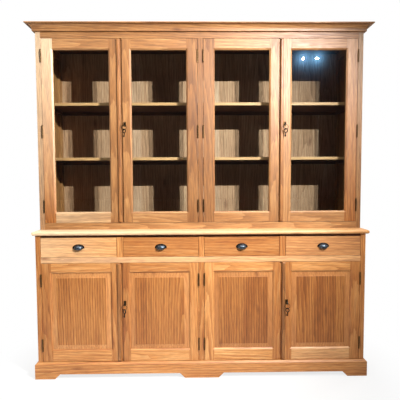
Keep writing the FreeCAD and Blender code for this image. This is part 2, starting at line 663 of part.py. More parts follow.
def key_and_bolt(row, number, edge_x, key_x, key_z, face, rear):
    """The bolt in its case, the key through the stile, and the split ring with the spare key."""
    name = "%s_%d" % (row, number)
    bolt_y = rear + d.lock_wall + d.bolt_play
    bolt_x = (edge_x + d.lock_edge * 2, key_x + d.lock_tail - d.lock_wall - d.lock_edge)
    bolt_low = key_z + d.bolt_rise
    node(name.join(("", "_bolt")), [board(name + "_bolt_bar", bolt_x,
                                          (bolt_y, bolt_y + d.bolt_thickness), (bolt_low, bolt_low + d.bolt_height))])
    stem_front = face - d.key_stem_reach
    bow_y = stem_front - d.bow_radius
    stem_rear = rear + d.lock_depth - d.bolt_play * 3
    bow = cut(name + "_bow", rod(name + "_bow_disc", d.bow_radius + d.bow_rim / 2,
                                 (key_x - d.bow_rim / 2, bow_y, key_z), d.bow_rim, "x"),
              [rod(name + "_bow_hole", d.bow_radius - d.bow_rim / 2,
                   (key_x - d.bow_rim, bow_y, key_z), d.bow_rim * 2, "x")])
    collar_y = face - d.escutcheon_thickness - d.collar_gap - d.collar_length
    node(name + "_key", [joined(name + "_key_whole", [
        bow,
        rod(name + "_stem", d.stem_radius, (key_x, stem_front, key_z), stem_rear - stem_front, "y"),
        rod(name + "_collar", d.collar_radius, (key_x, collar_y, key_z), d.collar_length, "y"),
        board(name + "_bit", (key_x - d.bit_width / 2, key_x + d.bit_width / 2), (stem_rear - d.bit_length, stem_rear),
              (key_z - d.bit_drop, key_z)),
    ])])
    ring_z = key_z - d.bow_radius + d.ring_gap - d.ring_radius
    ring_low = bow_y - d.ring_thickness / 2
    ring = cut(name + "_ring", rod(name + "_ring_disc", d.ring_radius + d.ring_wire, (key_x, ring_low, ring_z),
                                   d.ring_thickness, "y"),
               [rod(name + "_ring_hole", d.ring_radius, (key_x, ring_low - d.ring_thickness, ring_z),
                    d.ring_thickness * 3, "y")])
    spare_inner = d.spare_bow_radius - d.spare_rim / 2
    spare_z = ring_z - d.ring_radius + d.spare_gap - spare_inner
    spare_bow = cut(name + "_spare_bow", rod(name + "_spare_disc", d.spare_bow_radius + d.spare_rim / 2,
                                             (-d.spare_rim / 2, size(0), size(0)), d.spare_rim, "x"),
                    [rod(name + "_spare_hole", spare_inner, (-d.spare_rim, size(0), size(0)), d.spare_rim * 2, "x")])
    stem_high = -d.spare_bow_radius
    stem_low = stem_high - d.spare_stem
    spare = joined(name + "_spare_whole", [
        spare_bow,
        rod(name + "_spare_stem", d.spare_stem_radius, (size(0), size(0), stem_low), d.spare_stem),
        board(name + "_spare_bit", (-d.bit_width / 2, d.bit_width / 2), (size(0), d.spare_bit),
              (stem_low, stem_low + d.spare_bit_length)),
    ])
    turn(spare, (0, 0, 1), SPARE_TURN)
    place(spare, key_x, bow_y, spare_z)
    node(name + "_spare_key", [ring, spare])


for number in (1, 2, 3, 4):
    door("upper", number, hutch_front, upper_low, upper_high, d.upper_stile, d.upper_rail, d.upper_rail)
for number in (1, 2, 3, 4):
    door("lower", number, front, lower_low, lower_high, d.lower_stile, d.lower_top_rail, d.lower_bottom_rail)
node("frame_fittings", frame_fittings)


def drawer(number):
    """One drawer: front, two sides, back, bottom and a cup pull."""
    name = "drawer_%d" % number
    hand = -1 if number < 3 else 1
    middle = pair_middle * hand
    if number % 2 == 1:
        x0, x1 = middle - opening / 2 + d.reveal, middle - d.divider_width / 2 - d.reveal
    else:
        x0, x1 = middle + d.divider_width / 2 + d.reveal, middle + opening / 2 - d.reveal
    side_y = (front + d.drawer_front_thickness, front + d.drawer_front_thickness + d.drawer_length)
    side_z = (drawer_low + d.drawer_side_lift, drawer_high - d.drawer_side_drop)
    out_x = (x0 + d.drawer_side_inset, x1 - d.drawer_side_inset)
    in_x = (out_x[0] + d.drawer_side_thickness, out_x[1] - d.drawer_side_thickness)
    bottom_low = side_z[0] + d.drawer_bottom_lift
    node(name + "_box", [
        board(name + "_front", (x0, x1), (front, front + d.drawer_front_thickness), (drawer_low, drawer_high)),
        board(name + "_left_side", (out_x[0], in_x[0]), side_y, side_z),
        board(name + "_right_side", (in_x[1], out_x[1]), side_y, side_z),
        board(name + "_rear", in_x, (side_y[1] - d.drawer_side_thickness, side_y[1]), side_z),
        board(name + "_bottom", in_x, (side_y[0], side_y[1] - d.drawer_side_thickness),
              (bottom_low, bottom_low + d.drawer_bottom_thickness)),
    ])
    cup_pull(name + "_pull", (x0 + x1) / 2, (drawer_low + drawer_high) / 2 - d.pull_drop)


def dome(name, x, z, shrink):
    """A ball behind the drawer face, of which the cup's outside or inside is the part in front."""
    wide, reach = d.cup_half_width, d.cup_reach
    ball = doc.addObject("Part::Sphere", name)
    bind(ball, "Radius", (wide * wide + reach * reach) / (reach * 2) - shrink)
    place(ball, x, front + (wide * wide - reach * reach) / (reach * 2), z)
    return ball


def cup_pull(name, x, low):
    """A cast cup pull: a half-round flange on the drawer front and a hollow cup, open below, that hangs a lip lower."""
    wide = d.pull_half_width
    room = wide * 2
    rim = low - d.cup_lip
    halves = []
    for label, whole, bottom in (
            ("flange", rod(name + "_disc", wide, (x, front - d.pull_flange, low), d.pull_flange, "y"), low),
            ("cup", dome(name + "_outside", x, low, size(0)), rim)):
        half_solid = doc.addObject("Part::MultiCommon", name + "_" + label)
        half_solid.Shapes = [whole, board("%s_%s_room" % (name, label), (x - room, x + room), (front - room, front),
                                          (bottom, bottom + room))]
        halves.append(half_solid)
    node(name, [cut(name + "_hollow", joined(name + "_solid", halves), [dome(name + "_inside", x, low, d.cup_wall)])])


for number in (1, 2, 3, 4):
    drawer(number)

doc.recompute()
for thing in doc.Objects:
    if "Invalid" in thing.State or "Error" in thing.State:
        raise RuntimeError("cannot build %s: %s" % (thing.Name, thing.State))
os.makedirs("parts", exist_ok=True)
for whole in nodes:
    shape = whole.Shape
    if shape.isNull() or not shape.isValid() or not shape.Solids:
        raise RuntimeError("bad shape: " + whole.Label)
    shape.exportStep("parts/%s.step" % whole.Label)
    print("%-24s solids %3d  volume %.0f" % (whole.Label, len(shape.Solids), shape.Volume))
print(len(nodes), "parts")
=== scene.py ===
# %% [markdown]
# # A teak china cabinet
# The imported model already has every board, hinge and key at its place. This lesson dresses it: each
# board gets softened edges and a grain of its own, the metal gets its patina, and lamps stand where
# they light the shelves. All lengths are metres, and MM turns a shop size into one.

# %% Load the frame
import json
import math
import random
import bpy
from mathutils import Matrix, Vector


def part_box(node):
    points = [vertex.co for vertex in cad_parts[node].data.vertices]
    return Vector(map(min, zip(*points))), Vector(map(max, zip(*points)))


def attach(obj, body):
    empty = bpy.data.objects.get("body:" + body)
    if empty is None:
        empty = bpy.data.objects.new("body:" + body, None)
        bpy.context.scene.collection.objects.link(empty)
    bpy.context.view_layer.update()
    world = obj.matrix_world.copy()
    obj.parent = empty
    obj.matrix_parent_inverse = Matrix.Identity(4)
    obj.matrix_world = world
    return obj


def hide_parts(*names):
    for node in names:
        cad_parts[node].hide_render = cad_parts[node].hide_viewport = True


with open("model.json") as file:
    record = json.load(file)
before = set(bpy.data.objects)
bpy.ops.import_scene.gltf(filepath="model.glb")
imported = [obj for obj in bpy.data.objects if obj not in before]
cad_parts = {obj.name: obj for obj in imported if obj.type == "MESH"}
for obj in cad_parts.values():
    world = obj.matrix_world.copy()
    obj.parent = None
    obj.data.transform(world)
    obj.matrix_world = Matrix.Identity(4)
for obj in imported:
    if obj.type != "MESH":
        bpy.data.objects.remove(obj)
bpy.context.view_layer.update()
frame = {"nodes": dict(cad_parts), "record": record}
MM = 0.001
behaviour = frame["record"]["behaviour"]
body_of = {node: body for body, nodes in behaviour["bodies"].items() for node in nodes}

# %% [markdown]
# ## Camera
# The photograph was taken from standing height, a little left of the middle, with the camera tipped
# down by about three degrees. A camera can be set by eye, but these values were fitted to edges that
# are straight on the real cabinet: the counter, the cornice, the posts and the doors. Then every edge
# falls where it should.

# %% Camera
IMAGE = 400
FOCAL_PIXELS = 399.7
CAMERA_X, CAMERA_AHEAD, CAMERA_Z = -41 * MM, 2400 * MM, 1227 * MM
YAW, PITCH, ROLL = math.radians(0.81), math.radians(3.27), math.radians(0.26)
base_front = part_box("base_sides")[0].y

forward = Vector((math.sin(YAW) * math.cos(PITCH), math.cos(YAW) * math.cos(PITCH), -math.sin(PITCH)))
level = Vector((math.cos(YAW), -math.sin(YAW), 0))
down = forward.cross(level)
right = math.cos(ROLL) * level + math.sin(ROLL) * down
up = math.sin(ROLL) * level - math.cos(ROLL) * down
place = Vector((CAMERA_X, base_front - CAMERA_AHEAD, CAMERA_Z))

bpy.ops.object.camera_add()
camera = bpy.context.object
camera.data.sensor_fit = "HORIZONTAL"
camera.data.lens = camera.data.sensor_width * FOCAL_PIXELS / IMAGE
turned = Matrix((right, up, -forward)).transposed()
camera.matrix_world = Matrix.Translation(place) @ turned.to_4x4()
bpy.context.scene.camera = camera
bpy.context.scene.view_settings.view_transform = "Standard"
print("camera at", [round(c, 3) for c in place])

# %% [markdown]
# ## Colours and nodes
# Colours are written as the sRGB hex values that a colour picker shows, and one function turns them
# into the linear values that shaders work in. Another adds a shader node with its settings and its
# links, so that a material reads from top to bottom like a recipe. Inputs that share a name are given
# by number: a Math node's are 0, 1 and 2. A Mix node takes its share at 0 and two numbers at 2 and 3,
# or two colours at 6 and 7, and gives a mixed colour at output 2.


# %% Colour and node helpers
def colour(text):
    """An sRGB hex value as linear red, green, blue and alpha."""
    parts = [int(text[i:i + 2], 16) / 255 for i in (1, 3, 5)]
    return [c / 12.92 if c <= 0.04045 else ((c + 0.055) / 1.055) ** 2.4 for c in parts] + [1]


def add(tree, kind, settings=None, inputs=None):
    """A new node with its settings, and its inputs set or linked."""
    node = tree.nodes.new(kind)
    for name, value in (settings or {}).items():
        setattr(node, name, value)
    for name, value in (inputs or {}).items():
        if isinstance(value, bpy.types.NodeSocket):
            tree.links.new(value, node.inputs[name])
        else:
            node.inputs[name].default_value = value
    return node


def blank_material(name):
    """A material with an empty node tree and its output."""
    material = bpy.data.materials.new(name)
    material.use_nodes = True
    tree = material.node_tree
    tree.nodes.clear()
    output = add(tree, "ShaderNodeOutputMaterial")
    return material, tree, output


def ramp_colours(node, stops):
    """Sets the colours of a Color Ramp node, with (place, hex) stops."""
    elements = node.color_ramp.elements
    while len(elements) < len(stops):
        elements.new(0.5)
    for element, (spot, text) in zip(elements, stops):
        element.position = spot
        element.color = colour(text)


print("middle grey is", round(colour("#808080")[0], 3), "in linear light")

# %% [markdown]
# ## The figure of teak
# Plantation teak, planed and waxed: golden brown with darker streaks along the board, fine open pores,
# and a tone that jumps from one board to the next. A picture of wood could be laid on, but nodes stay
# sharp at any distance and can follow each board. For that, every board carries its own coordinates in
# two attributes. In grain, x runs along the board and y and z across it, shifted so that no two boards
# show the same stretch of the tree. In heart, the same axes start at the middle of the trunk. A board
# is sawn a few degrees off that line, so the rings leave its face in long flames. Sizes are along and
# across the board. The rings are drawn about three times as wide as real ones, because finer ones would
# vanish at this distance.

# %% Clouds, streaks and rings
CLOUD = (450 * MM, 70 * MM, 70 * MM)
STREAK = (400 * MM, 16 * MM, 16 * MM)
RING_WIDTH = 15 * MM
RING_STRETCH = 0.15     # how fast the rings' wobble changes along the trunk, against across it
TAPER = math.radians(3)
WAVE_RATE = 20          # a Wave texture multiplies distances by this and has a ring for every 2 pi
SWAY = (0, 2.5, 2.5)    # how far the clouds push the streaks aside, in streak widths
CLOUD_SHARE = 0.45


def per(size):
    """How often each length of a size fits into a metre."""
    return [1 / length for length in size]


def figure_of(tree, grain, heart, streak, figure):
    """Clouds, streaks and rings added up in their shares, so that an even mix gives 0.5."""
    cloud_spot = add(tree, "ShaderNodeMapping", inputs={"Vector": grain, "Scale": per(CLOUD)}).outputs[0]
    cloud = add(tree, "ShaderNodeTexNoise", inputs={"Vector": cloud_spot, "Scale": 1, "Detail": 3})

    straight = add(tree, "ShaderNodeMapping", inputs={"Vector": grain, "Scale": per(STREAK)}).outputs[0]
    swayed = add(tree, "ShaderNodeVectorMath", {"operation": "MULTIPLY_ADD"},
                 {0: cloud.outputs["Color"], 1: SWAY, 2: straight}).outputs[0]
    streaks = add(tree, "ShaderNodeTexNoise",
                  inputs={"Vector": swayed, "Scale": 1, "Detail": 6, "Roughness": 0.75})

    trunk = add(tree, "ShaderNodeMapping", {"vector_type": "TEXTURE"},
                {"Vector": heart, "Rotation": (0, TAPER, 0)}).outputs[0]
    ring_scale = 2 * math.pi / (WAVE_RATE * RING_WIDTH)
    ring_spot = add(tree, "ShaderNodeMapping", inputs={
        "Vector": trunk, "Scale": (RING_STRETCH * ring_scale, ring_scale, ring_scale)}).outputs[0]
    rings = add(tree, "ShaderNodeTexWave",
                {"wave_type": "RINGS", "rings_direction": "X", "wave_profile": "SAW"},
                {"Vector": ring_spot, "Scale": 1, "Distortion": 4, "Detail": 3, "Detail Scale": 1.5})

    parts = ((cloud, CLOUD_SHARE), (streaks, streak), (rings, figure))
    mixture = 0.5 - sum(0.5 * share for _, share in parts)
    for texture, share in parts:
        mixture = add(tree, "ShaderNodeMath", {"operation": "MULTIPLY_ADD"},
                      {0: texture.outputs["Fac"], 1: share, 2: mixture}).outputs[0]
    return mixture


print("streaks of", STREAK[1] / MM, "mm and finer, rings of", RING_WIDTH / MM, "mm")

# %% [markdown]
# ## Colours of a board
# The figure picks a colour between dark latewood and pale earlywood. Each board then has a tone, which
# makes it darker or paler as a whole, and a painted sheen that may grow from one end to the other: a pale
# wash painted into the colour where the lamps' gloss would shine. A wide panel is glued up from staves,
# and its colour steps a little from one to the next. Here and there a small oval knot darkens the wood.
# All of this could be painted by hand, but drawn numbers give every board its own look at once.

# %% Staves, tones and knots
STAVE_WIDTH = 124 * MM
STOP_PLACES = (0.24, 0.5, 0.76)
TONES = ((0, "#b59a7a"), (0.5, "#e2cdb4"), (1, "#fffaf0"))
# painted sheen: the pale colour washed over a board where the lamps' gloss would shine
PAINTED_SHEEN_COLOUR = "#eedab8"
KNOT = "#8a5530"
KNOT_CELL = (350 * MM, 120 * MM, 120 * MM)
KNOT_CORE, KNOT_EDGE, KNOT_DARK = 0.03, 0.13, 0.55      # shares of a cell, and how dark its middle gets


def step_staves(tree, grain, mixture, step):
    """Moves the mixture up or down from one glued stave to the next."""
    across = add(tree, "ShaderNodeSeparateXYZ", inputs={0: grain}).outputs["Y"]
    stave = add(tree, "ShaderNodeMath", {"operation": "SNAP"}, {0: across, 1: STAVE_WIDTH}).outputs[0]
    drawn = add(tree, "ShaderNodeTexWhiteNoise", {"noise_dimensions": "1D"}, {"W": stave}).outputs[0]
    centred = add(tree, "ShaderNodeMath", {"operation": "MULTIPLY_ADD"},
                  {0: drawn, 1: step, 2: -step / 2}).outputs[0]
    return add(tree, "ShaderNodeMath", {"operation": "ADD"}, {0: mixture, 1: centred}).outputs[0]


def toned_colour(tree, mixture, stops):
    """The mixture as colours, toned for the board and paled by its painted sheen."""
    tone = add(tree, "ShaderNodeAttribute", {"attribute_name": "tone"}).outputs["Fac"]
    painted_sheen = add(tree, "ShaderNodeAttribute", {"attribute_name": "painted_sheen"}).outputs["Fac"]
    base = add(tree, "ShaderNodeValToRGB", inputs={"Fac": mixture})
    ramp_colours(base, tuple(zip(STOP_PLACES, stops)))
    tint = add(tree, "ShaderNodeValToRGB", inputs={"Fac": tone})
    ramp_colours(tint, TONES)
    toned = add(tree, "ShaderNodeMix", {"data_type": "RGBA", "blend_type": "MULTIPLY"},
                {0: 1.0, 6: base.outputs[0], 7: tint.outputs[0]}).outputs[2]
    return add(tree, "ShaderNodeMix", {"data_type": "RGBA"},
               {0: painted_sheen, 6: toned, 7: colour(PAINTED_SHEEN_COLOUR)}).outputs[2]


def with_knots(tree, grain, skin):
    """Darkens small oval knots, each in a cell of its own."""
    cells = add(tree, "ShaderNodeMapping", inputs={"Vector": grain, "Scale": per(KNOT_CELL)}).outputs[0]
    distance = add(tree, "ShaderNodeTexVoronoi", inputs={"Vector": cells, "Scale": 1}).outputs["Distance"]
    knot = add(tree, "ShaderNodeMapRange", inputs={
        "Value": distance, "From Min": KNOT_CORE, "From Max": KNOT_EDGE,
        "To Min": KNOT_DARK, "To Max": 0.0}).outputs[0]
    return add(tree, "ShaderNodeMix", {"data_type": "RGBA", "blend_type": "MULTIPLY"},
               {0: knot, 6: skin, 7: colour(KNOT)}).outputs[2]


print("a knot may grow in every", KNOT_CELL[0] / MM, "by", KNOT_CELL[1] / MM, "mm")

# %% [markdown]
# ## Pores and wax
# Teak is an open-pored wood: the plane cuts long vessels that stay as dark dashes. Wax fills the wood
# between them, so the pores are duller and lie a little deeper than the rest. One noise drives colour,
# gloss and relief together, which makes the dashes look cut in and not printed. They are drawn about
# ten times as wide as real pores, so that they show at this distance.

# %% Teak
PORE = (60 * MM, 3 * MM, 3 * MM)
PORE_DEPTH, PORE_RELIEF = 0.4 * MM, 0.25
PORE_SHADE, WOOD_SHADE = 0.72, 1.06     # what multiplies the colour in a pore and beside it
PORE_DULLER, WAX_SMOOTHER = 0.12, 0.05  # how their roughness differs from the wood's own


def waxed_surface(tree, grain, skin, roughness):
    """The surface with its pores: darker, duller and dented."""
    pore_spot = add(tree, "ShaderNodeMapping", inputs={"Vector": grain, "Scale": per(PORE)}).outputs[0]
    pores = add(tree, "ShaderNodeTexNoise",
                inputs={"Vector": pore_spot, "Scale": 1, "Detail": 3}).outputs["Fac"]
    shade = add(tree, "ShaderNodeMapRange", inputs={
        "Value": pores, "From Min": 0.35, "From Max": 0.6,
        "To Min": PORE_SHADE, "To Max": WOOD_SHADE}).outputs[0]
    shaded = add(tree, "ShaderNodeMix", {"data_type": "RGBA", "blend_type": "MULTIPLY"},
                 {0: 1.0, 6: skin, 7: shade}).outputs[2]
    gloss = add(tree, "ShaderNodeMapRange", inputs={
        "Value": pores, "From Min": 0.3, "From Max": 0.7,
        "To Min": roughness + PORE_DULLER, "To Max": roughness - WAX_SMOOTHER}).outputs[0]
    relief = add(tree, "ShaderNodeBump",
                 inputs={"Strength": PORE_RELIEF, "Distance": PORE_DEPTH, "Height": pores})
    return add(tree, "ShaderNodeBsdfPrincipled",
               inputs={"Base Color": shaded, "Roughness": gloss, "Normal": relief.outputs[0]})


def wood(name, stops, streak=0.9, figure=0.25, staves=0.0, roughness=0.45):
    """A waxed wood: stops are its colours from dark to pale, then come its contrasts and its dullness."""
    material, tree, output = blank_material(name)
    grain = add(tree, "ShaderNodeAttribute", {"attribute_name": "grain"}).outputs["Vector"]
    heart = add(tree, "ShaderNodeAttribute", {"attribute_name": "heart"}).outputs["Vector"]
    mixture = figure_of(tree, grain, heart, streak, figure)
    if staves:
        mixture = step_staves(tree, grain, mixture, staves)
    skin = with_knots(tree, grain, toned_colour(tree, mixture, stops))
    surface = waxed_surface(tree, grain, skin, roughness)
    tree.links.new(surface.outputs[0], output.inputs["Surface"])
    return material


# planed and waxed, as on the whole base: warm gold with an even sheen
frame_teak = wood("waxed_teak", ("#a06230", "#ca9054", "#e0b078"))
# the same, greyed with age, as on the hutch: browner and quieter
upper_teak = wood("greyed_teak", ("#845e3a", "#aa8054", "#c8a274"))
# a richer board, on the two outer stiles of the hutch doors: deep gold
golden_teak = wood("golden_teak", ("#8e5828", "#b67c42", "#d0a068"))
# planed and left bare, inside the drawers: dull and brownish grey
drawer_teak = wood("planed_teak", ("#8a6844", "#b08c62", "#c8a67c"), roughness=0.65)
# painted highlight on the slanting bevels around each panel: paler, with little figure
bevel_highlight_teak = wood("bevelled_painted_highlight_teak", ("#ae7848", "#d09860", "#e4b884"), streak=0.4, figure=0.15)
# glued up from figured staves, for the panels: flames, and steps in tone
panel_teak = wood("figured_teak", ("#84501f", "#ae733a", "#cf9a5c"), streak=0.65, figure=0.35, staves=0.2)
# bleached by daylight, on the counter: almost blond
pale_teak = wood("sun_bleached_teak", ("#be844a", "#d8a468", "#e8c08c"))
# bare inside the carcass, with painted shade: a dull dark brown for its unlit depth
shade_painted_teak = wood("unwaxed_painted_shade_teak", ("#3a1a0c", "#5a3018", "#80502e"), roughness=0.6)
# worn by hands, on the strips beside the meeting doors: a little darker than the frames
strip_teak = wood("handled_teak", ("#7a502c", "#a07242", "#ba8c5c"))
# painted light on the front edge of the shelves: a pale line across their painted shade
lit_edge_teak = wood("painted_light_edge_teak", ("#c69c70", "#deb88c", "#ecd0aa"))
# dry and never waxed, behind the shelves: pinkish grey where the lamps reach it
back_teak = wood("dry_teak", ("#a88a72", "#d2b4a0", "#e8d2c0"), roughness=0.7)
print("woods:", [m.name for m in bpy.data.materials if m.name.endswith("_teak")])

# %% [markdown]
# ## Copying a board
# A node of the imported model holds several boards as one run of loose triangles. A board is a closed
# solid, so it is complete as soon as every edge has been met twice: that tells the boards apart even
# where they touch. Each one is copied, merged, and its flat sides are made whole again. A bevel then
# softens its edges as a stroke of the plane does, since an edge that is perfectly sharp gives a drawing
# away.

# %% Board copies
MERGED, FLAT = 0.01 * MM, math.radians(1)
EDGE_STEPS = 2


def pick(thing):
    """Selects one object and nothing else."""
    bpy.ops.object.select_all(action="DESELECT")
    thing.select_set(True)
    bpy.context.view_layer.objects.active = thing


def solids_of(node):
    """The triangles of each closed solid of a node, as lists of three points."""
    mesh = frame["nodes"][node].data
    points = [tuple(round(c, 6) for c in v.co) for v in mesh.vertices]
    found, triangles, open_edges = [], [], set()
    for polygon in mesh.polygons:
        corners = [points[i] for i in polygon.vertices]
        triangles.append(corners)
        for start, end in zip(corners, corners[1:] + corners[:1]):
            open_edges ^= {frozenset((start, end))}
        if not open_edges:
            found.append(triangles)
            triangles = []
    return found


def copy_solid(name, triangles, edge, finish):
    """A merged copy of one solid, with its edges rounded by the width of edge."""
    mesh = bpy.data.meshes.new(name)
    corners = [p for t in triangles for p in t]
    mesh.from_pydata(corners, [], [range(i, i + 3) for i in range(0, len(corners), 3)])
    piece = bpy.data.objects.new(name, mesh)
    bpy.context.scene.collection.objects.link(piece)
    pick(piece)
    bpy.ops.object.mode_set(mode="EDIT")
    bpy.ops.mesh.select_all(action="SELECT")
    bpy.ops.mesh.remove_doubles(threshold=MERGED)
    bpy.ops.mesh.dissolve_limited(angle_limit=FLAT)
    bpy.ops.object.mode_set(mode="OBJECT")
    bevel = piece.modifiers.new("softened edge", "BEVEL")
    bevel.width = edge
    bevel.segments = EDGE_STEPS
    bevel.limit_method = "ANGLE"
    bpy.ops.object.modifier_apply(modifier=bevel.name)
    bpy.ops.object.shade_smooth()
    normals = piece.modifiers.new("flat sides", "WEIGHTED_NORMAL")
    normals.weight = 100
    bpy.ops.object.modifier_apply(modifier=normals.name)
    mesh.materials.append(finish)
    return piece


print("boards behind the shelves:", len(solids_of("hutch_back")))

# %% [markdown]
# ## Laying the grain
# Wood grows along the trunk, so the longest side of a board is the way of its grain. The points of each
# board are measured in that order, from a start that is drawn by lot. Both lots are seeded, so that the
# same boards come out of the saw every time. The heart of the trunk lies a few centimetres outside the
# board, somewhere along its length and near its width: close enough for the rings to curve across the
# face.

# %% Grain, tone and bleaching
TREE_LENGTH = 40
HEART_ALONG, HEART_ACROSS = (0, 1), (-0.5, 1.5)     # shares of the board's length and width
HEART_OUTSIDE = (20, 90)                            # millimetres
draws = random.Random(1911)
hearts = random.Random(7)


def measured(spots, order, start):
    """The places of all points from a start, one after the other, with the axes in the board's order."""
    return [spot[axis] + offset for spot in spots for axis, offset in zip(order, start)]


def lay_grain(piece, tone, painted_sheen):
    """Gives a board its grain and heart coordinates, its tone, and the painted sheen at its two ends."""
    corners = [Vector(c) for c in piece.bound_box]
    low, high = corners[0], corners[6]
    order = sorted(range(3), key=lambda axis: low[axis] - high[axis])
    length, width = [high[axis] - low[axis] for axis in order[:2]]
    spots = [vertex.co - low for vertex in piece.data.vertices]
    shift = [draws.uniform(0, TREE_LENGTH) for _ in range(3)]
    heart = (-hearts.uniform(*HEART_ALONG) * length, -hearts.uniform(*HEART_ACROSS) * width,
             hearts.uniform(*HEART_OUTSIDE) * MM)
    shares = [spot[order[0]] / length for spot in spots]
    for name, kind, field, values in (
        ("grain", "FLOAT_VECTOR", "vector", measured(spots, order, shift)),
        ("heart", "FLOAT_VECTOR", "vector", measured(spots, order, heart)),
        ("tone", "FLOAT", "value", [tone] * len(spots)),
        ("painted_sheen", "FLOAT", "value", [painted_sheen[0] + (painted_sheen[1] - painted_sheen[0]) * share for share in shares]),
    ):
        piece.data.attributes.new(name, kind, "POINT").data.foreach_set(field, values)


print("a board may start anywhere in", TREE_LENGTH, "m of tree")

# %% [markdown]
# ## Standing in for a node
# All boards of a node are joined into one piece, which rides on the node's body and hides it. The
# imported solids themselves stay as they are: they still carry the weight and meet the other parts.

# %% Dressed nodes
SOFT_EDGE = 0.6 * MM
USUAL_TONES = (0.35, 0.7)


def join(pieces, name):
    """Joins pieces into one object of that name."""
    pick(pieces[0])
    for piece in pieces:
        piece.select_set(True)
    if len(pieces) > 1:
        bpy.ops.object.join()
    whole = bpy.context.object
    whole.name = whole.data.name = name
    return whole


def wear(whole, node):
    """Lets a finished piece stand in for a node, on the same body."""
    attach(whole, body_of[node])
    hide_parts(node)
    return whole


def repaint(piece, finish, chosen):
    """Gives the faces whose direction is chosen a second finish: painted light where they catch the lamps.
    """
    piece.data.materials.append(finish)
    for face in piece.data.polygons:
        if chosen(face.normal):
            face.material_index = 1


def boards(node, finish, finishes=None, second=None, chosen=None):
    """Stands in for a node of boards: finishes names those that differ from the rest by their number."""
    pieces = []
    for index, triangles in enumerate(solids_of(node)):
        board = copy_solid("board", triangles, SOFT_EDGE, (finishes or {}).get(index, finish))
        if second:
            repaint(board, second, chosen)
        drawn = draws.uniform(*USUAL_TONES)
        tone = BOARD_TONES.get(node, {}).get(index, drawn)
        lay_grain(board, tone, PAINTED_SHEEN_ENDS.get(node, {}).get(index, (0, 0)))
        pieces.append(board)
    wear(join(pieces, node + "_boards"), node)
    return len(pieces)


print("most boards have a tone between", USUAL_TONES)

# %% [markdown]
# ## Which board is which
# A joiner numbers the boards, and here the numbers have names. Most boards draw their tone by lot. The
# ones below are clearly darker, 0, or paler, 1, than their neighbours, and some carry a painted sheen:
# the pair of numbers is how much pale wash stands in for the lamps' gloss at the low or left end and at
# the other one. A single colour for all boards would be simpler, but the jump from board to board is
# what makes a joined front look joined.

# %% Board numbers and tones
LEFT_STILE, RIGHT_STILE, TOP_RAIL, LOW_RAIL = 0, 1, 2, 3
UPPER_STRIP, LOWER_STRIP = 8, 4
LEFT_POST, RIGHT_POST = 0, 5
FRIEZE, MULLION = 1, 2
MIDDLE_RAIL, SHADOW_RAIL, RIGHT_DIVIDER = 1, 2, 7
FRONT, INNER_BOARDS = 0, (1, 2, 3, 4)   # FRONT is also the one board of a panel and of the counter
BOARD_TONES = {
    "hutch_sides": {RIGHT_POST: 0.2},
    "hutch_face_frame": {FRIEZE: 0.42, MULLION: 0.0},
    "upper_door_1_frame": {LEFT_STILE: 0.5, RIGHT_STILE: 0.35, LOW_RAIL: 0.9, UPPER_STRIP: 0.5},
    "upper_door_2_frame": {LEFT_STILE: 0.45, RIGHT_STILE: 0.1},
    "upper_door_3_frame": {LEFT_STILE: 0.12},
    "upper_door_4_frame": {RIGHT_STILE: 0.24, LOW_RAIL: 0.6, UPPER_STRIP: 0.5},
    "drawer_1_box": {FRONT: 0.9},
    "drawer_2_box": {FRONT: 0.3},
    "drawer_3_box": {FRONT: 0.28},
    "drawer_4_box": {FRONT: 0.45},
    "base_face_frame": {MIDDLE_RAIL: 0.8, RIGHT_DIVIDER: 0.35},
    "lower_door_1_frame": {LEFT_STILE: 0.3, TOP_RAIL: 0.75, LOW_RAIL: 0.75, LOWER_STRIP: 0.5},
    "lower_door_2_frame": {LEFT_STILE: 0.25, LOW_RAIL: 0.75},
    "lower_door_3_frame": {RIGHT_STILE: 0.3, TOP_RAIL: 0.75, LOW_RAIL: 0.9},
    "lower_door_3_panel": {FRONT: 0.3},
    "lower_door_4_frame": {RIGHT_STILE: 0.4, TOP_RAIL: 0.8, LOW_RAIL: 0.85, LOWER_STRIP: 0.5},
    "plinth": {FRONT: 0.62},
}
# painted sheen on these boards: a pale wash standing in for the gloss of the lamps, low or left end first
PAINTED_SHEEN_ENDS = {
    "hutch_sides": {LEFT_POST: (0.1, 0.4), RIGHT_POST: (0.0, 0.15)},
    "upper_door_1_frame": {LEFT_STILE: (0.0, 0.5), LOW_RAIL: (0.2, 0.1)},
    "upper_door_4_frame": {RIGHT_STILE: (0.0, 0.16)},
    "counter_top": {FRONT: (0.6, 0.0)},
    "drawer_1_box": {FRONT: (0.25, 0.05)},
    "drawer_4_box": {FRONT: (0.05, 0.05)},
    "base_face_frame": {MIDDLE_RAIL: (0.25, 0.1)},
    "lower_door_4_frame": {LOW_RAIL: (0.1, 0.1)},
}
print(sum(len(tones) for tones in BOARD_TONES.values()), "boards have a tone of their own")

# %% [markdown]
# ## All the boards
# The base is waxed teak and the hutch has greyed. The cover strips beside the meeting doors and the outer
# stiles of the hutch doors differ from the boards around them, and the rail in the shade of the counter
# is painted dark as painted shade. Drawers are plain inside. A panel has bevels painted paler around its
# field as a painted highlight, and a shelf has a front painted pale as painted light against its painted
# shade: both are found by the way a face looks, which is quicker than selecting them by hand.

